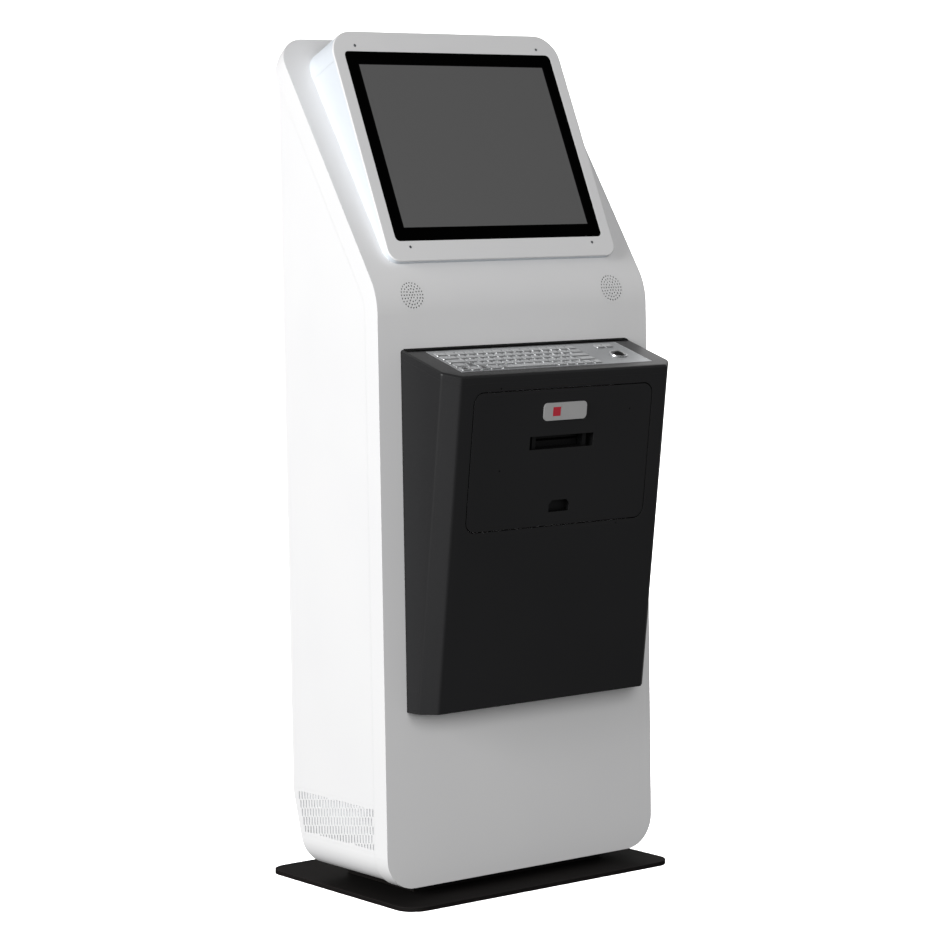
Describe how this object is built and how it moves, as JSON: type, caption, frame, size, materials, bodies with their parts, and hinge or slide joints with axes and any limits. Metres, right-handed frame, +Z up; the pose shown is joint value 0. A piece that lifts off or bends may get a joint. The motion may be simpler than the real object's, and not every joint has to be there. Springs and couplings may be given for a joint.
{
  "type": "self-service kiosk",
  "caption": "Floor-standing sheet-metal kiosk with a raked touch screen over a leaning console that has a metal keyboard, trackball, card reader and receipt slot.",
  "frame": {"origin": "middle of the floor plate's underside, on the floor", "axes": "+Z up, -Y towards the person who uses the screen, +X to that person's right"},
  "size_m": [0.6, 0.5164, 1.513],
  "materials": {
    "white_sheet": "white powder coat, fine texture",
    "black_sheet": "black powder coat, satin",
    "floor_steel": "black powder coat, satin, on thick plate",
    "brushed_plate": "brushed stainless steel",
    "key_metal": "brushed stainless steel key tops",
    "bright_chrome": "polished",
    "screen_glass": "flat, black printed border",
    "display_black": "matte",
    "dark_plastic": "moulded, fine texture",
    "silver_plastic": "moulded, satin silver",
    "red_window": "dark red, polished",
    "ball_plastic": "polished phenolic",
    "zinc_steel": "zinc plated",
    "paper": "thermal paper, wound",
    "driver_paper": "treated paper cone on a steel basket"
  },
  "bodies": {
    "cabinet": {"floor_plate": "floor_steel", "plinth": "floor_steel", "plinth_bolts": "zinc_steel", "cabinet_wrap": "white_sheet", "rear_panel": "white_sheet", "front_panel": "white_sheet", "vent_left": "white_sheet", "vent_right": "white_sheet", "speaker_grille_left": "white_sheet", "speaker_grille_right": "white_sheet", "speaker_drivers": "driver_paper", "screen_bezel": "white_sheet", "screen_band_lower": "white_sheet", "screen_band_upper": "white_sheet", "bezel_screws": "zinc_steel", "touch_glass": "screen_glass", "display_panel": "display_black", "display_rails": "zinc_steel", "console_shell": "black_sheet", "console_deck": "black_sheet", "keyboard_plate": "brushed_plate", "keyboard_tray": "dark_plastic", "trackball_ring": "bright_chrome", "printer_chassis": "zinc_steel", "receipt_printer": "dark_plastic", "paper_spindle": "dark_plastic", "flap_hinge_arms": "zinc_steel", "console_screws": "zinc_steel", "equipment_shelf": "zinc_steel", "controller_box": "zinc_steel", "power_supply": "zinc_steel", "fan_frame": "dark_plastic", "mains_inlet": "dark_plastic", "door_hinge_frames": "zinc_steel"},
    "rear_door": {"rear_door_panel": "white_sheet", "door_hinge_leaves": "zinc_steel", "lock_housings": "zinc_steel"},
    "lock_upper": {"lock_plug_upper": "zinc_steel"},
    "lock_lower": {"lock_plug_lower": "zinc_steel"},
    "console_flap": {"flap_panel": "black_sheet", "flap_hinge_pins": "zinc_steel", "flap_pull": "dark_plastic", "reader_bezel": "silver_plastic", "reader_window": "red_window", "reader_body": "dark_plastic", "receipt_throat": "dark_plastic", "flap_screws": "zinc_steel"},
    "trackball": {"trackball": "ball_plastic"},
    "paper_roll": {"paper_roll": "paper"},
    "fan_rotor": {"fan_rotor": "dark_plastic"},
    "mains_switch": {"mains_switch": "dark_plastic"},
    "keys_row_1": {"keys_row_1": "key_metal"},
    "keys_row_2": {"keys_row_2": "key_metal"},
    "keys_row_3": {"keys_row_3": "key_metal"},
    "keys_row_4": {"keys_row_4": "key_metal"},
    "keys_row_5": {"keys_row_5": "key_metal"},
    "space_bar": {"space_bar": "key_metal"},
    "enter_key": {"enter_key": "key_metal"},
    "mouse_key_left": {"mouse_key_left": "key_metal"},
    "mouse_key_right": {"mouse_key_right": "key_metal"}
  },
  "joints": [
    {"name": "rear_door_hinge", "type": "hinge", "parent": "cabinet", "child": "rear_door", "pos_m": [0.24625, 0.1343, 0.813], "axis": [0, 0, -1], "range_deg": [0, 110]},
    {"name": "lock_upper_turn", "type": "hinge", "parent": "rear_door", "child": "lock_upper", "pos_m": [-0.221, 0.13, 1.093], "axis": [0, 1, 0], "range_deg": [0, 90]},
    {"name": "lock_lower_turn", "type": "hinge", "parent": "rear_door", "child": "lock_lower", "pos_m": [-0.221, 0.13, 0.533], "axis": [0, 1, 0], "range_deg": [0, 90]},
    {"name": "console_flap_hinge", "type": "hinge", "parent": "cabinet", "child": "console_flap", "pos_m": [0, -0.28402, 0.86987], "axis": [-1, 0, 0], "range_deg": [0, 80]},
    {"name": "trackball_roll", "type": "hinge", "parent": "cabinet", "child": "trackball", "pos_m": [0.168, -0.23217, 0.93096], "axis": [1, 0, 0], "continuous": true},
    {"name": "paper_roll_turn", "type": "hinge", "parent": "cabinet", "child": "paper_roll", "pos_m": [0, -0.208, 0.7235], "axis": [1, 0, 0], "continuous": true},
    {"name": "fan_rotor_spin", "type": "hinge", "parent": "cabinet", "child": "fan_rotor", "pos_m": [-0.297, -0.008, 0.13], "axis": [1, 0, 0], "continuous": true},
    {"name": "mains_switch_rock", "type": "hinge", "parent": "cabinet", "child": "mains_switch", "pos_m": [-0.197, 0.13, 0.212], "axis": [1, 0, 0], "range_deg": [0, 12]},
    {"name": "keys_row_1_press", "type": "slide", "parent": "cabinet", "child": "keys_row_1", "axis": [0, 0.2924, -0.9563], "range_m": [0, 0.0018], "stiffness_N_per_m": 600, "springref_m": -0.002},
    {"name": "keys_row_2_press", "type": "slide", "parent": "cabinet", "child": "keys_row_2", "axis": [0, 0.2924, -0.9563], "range_m": [0, 0.0018], "stiffness_N_per_m": 600, "springref_m": -0.002},
    {"name": "keys_row_3_press", "type": "slide", "parent": "cabinet", "child": "keys_row_3", "axis": [0, 0.2924, -0.9563], "range_m": [0, 0.0018], "stiffness_N_per_m": 600, "springref_m": -0.002},
    {"name": "keys_row_4_press", "type": "slide", "parent": "cabinet", "child": "keys_row_4", "axis": [0, 0.2924, -0.9563], "range_m": [0, 0.0018], "stiffness_N_per_m": 600, "springref_m": -0.002},
    {"name": "keys_row_5_press", "type": "slide", "parent": "cabinet", "child": "keys_row_5", "axis": [0, 0.2924, -0.9563], "range_m": [0, 0.0018], "stiffness_N_per_m": 600, "springref_m": -0.002},
    {"name": "space_bar_press", "type": "slide", "parent": "cabinet", "child": "space_bar", "axis": [0, 0.2924, -0.9563], "range_m": [0, 0.0018], "stiffness_N_per_m": 250, "springref_m": -0.002},
    {"name": "enter_key_press", "type": "slide", "parent": "cabinet", "child": "enter_key", "axis": [0, 0.2924, -0.9563], "range_m": [0, 0.0018], "stiffness_N_per_m": 250, "springref_m": -0.002},
    {"name": "mouse_key_left_press", "type": "slide", "parent": "cabinet", "child": "mouse_key_left", "axis": [0, 0.2924, -0.9563], "range_m": [0, 0.0018], "stiffness_N_per_m": 250, "springref_m": -0.002},
    {"name": "mouse_key_right_press", "type": "slide", "parent": "cabinet", "child": "mouse_key_right", "axis": [0, 0.2924, -0.9563], "range_m": [0, 0.0018], "stiffness_N_per_m": 250, "springref_m": -0.002}
  ]
}
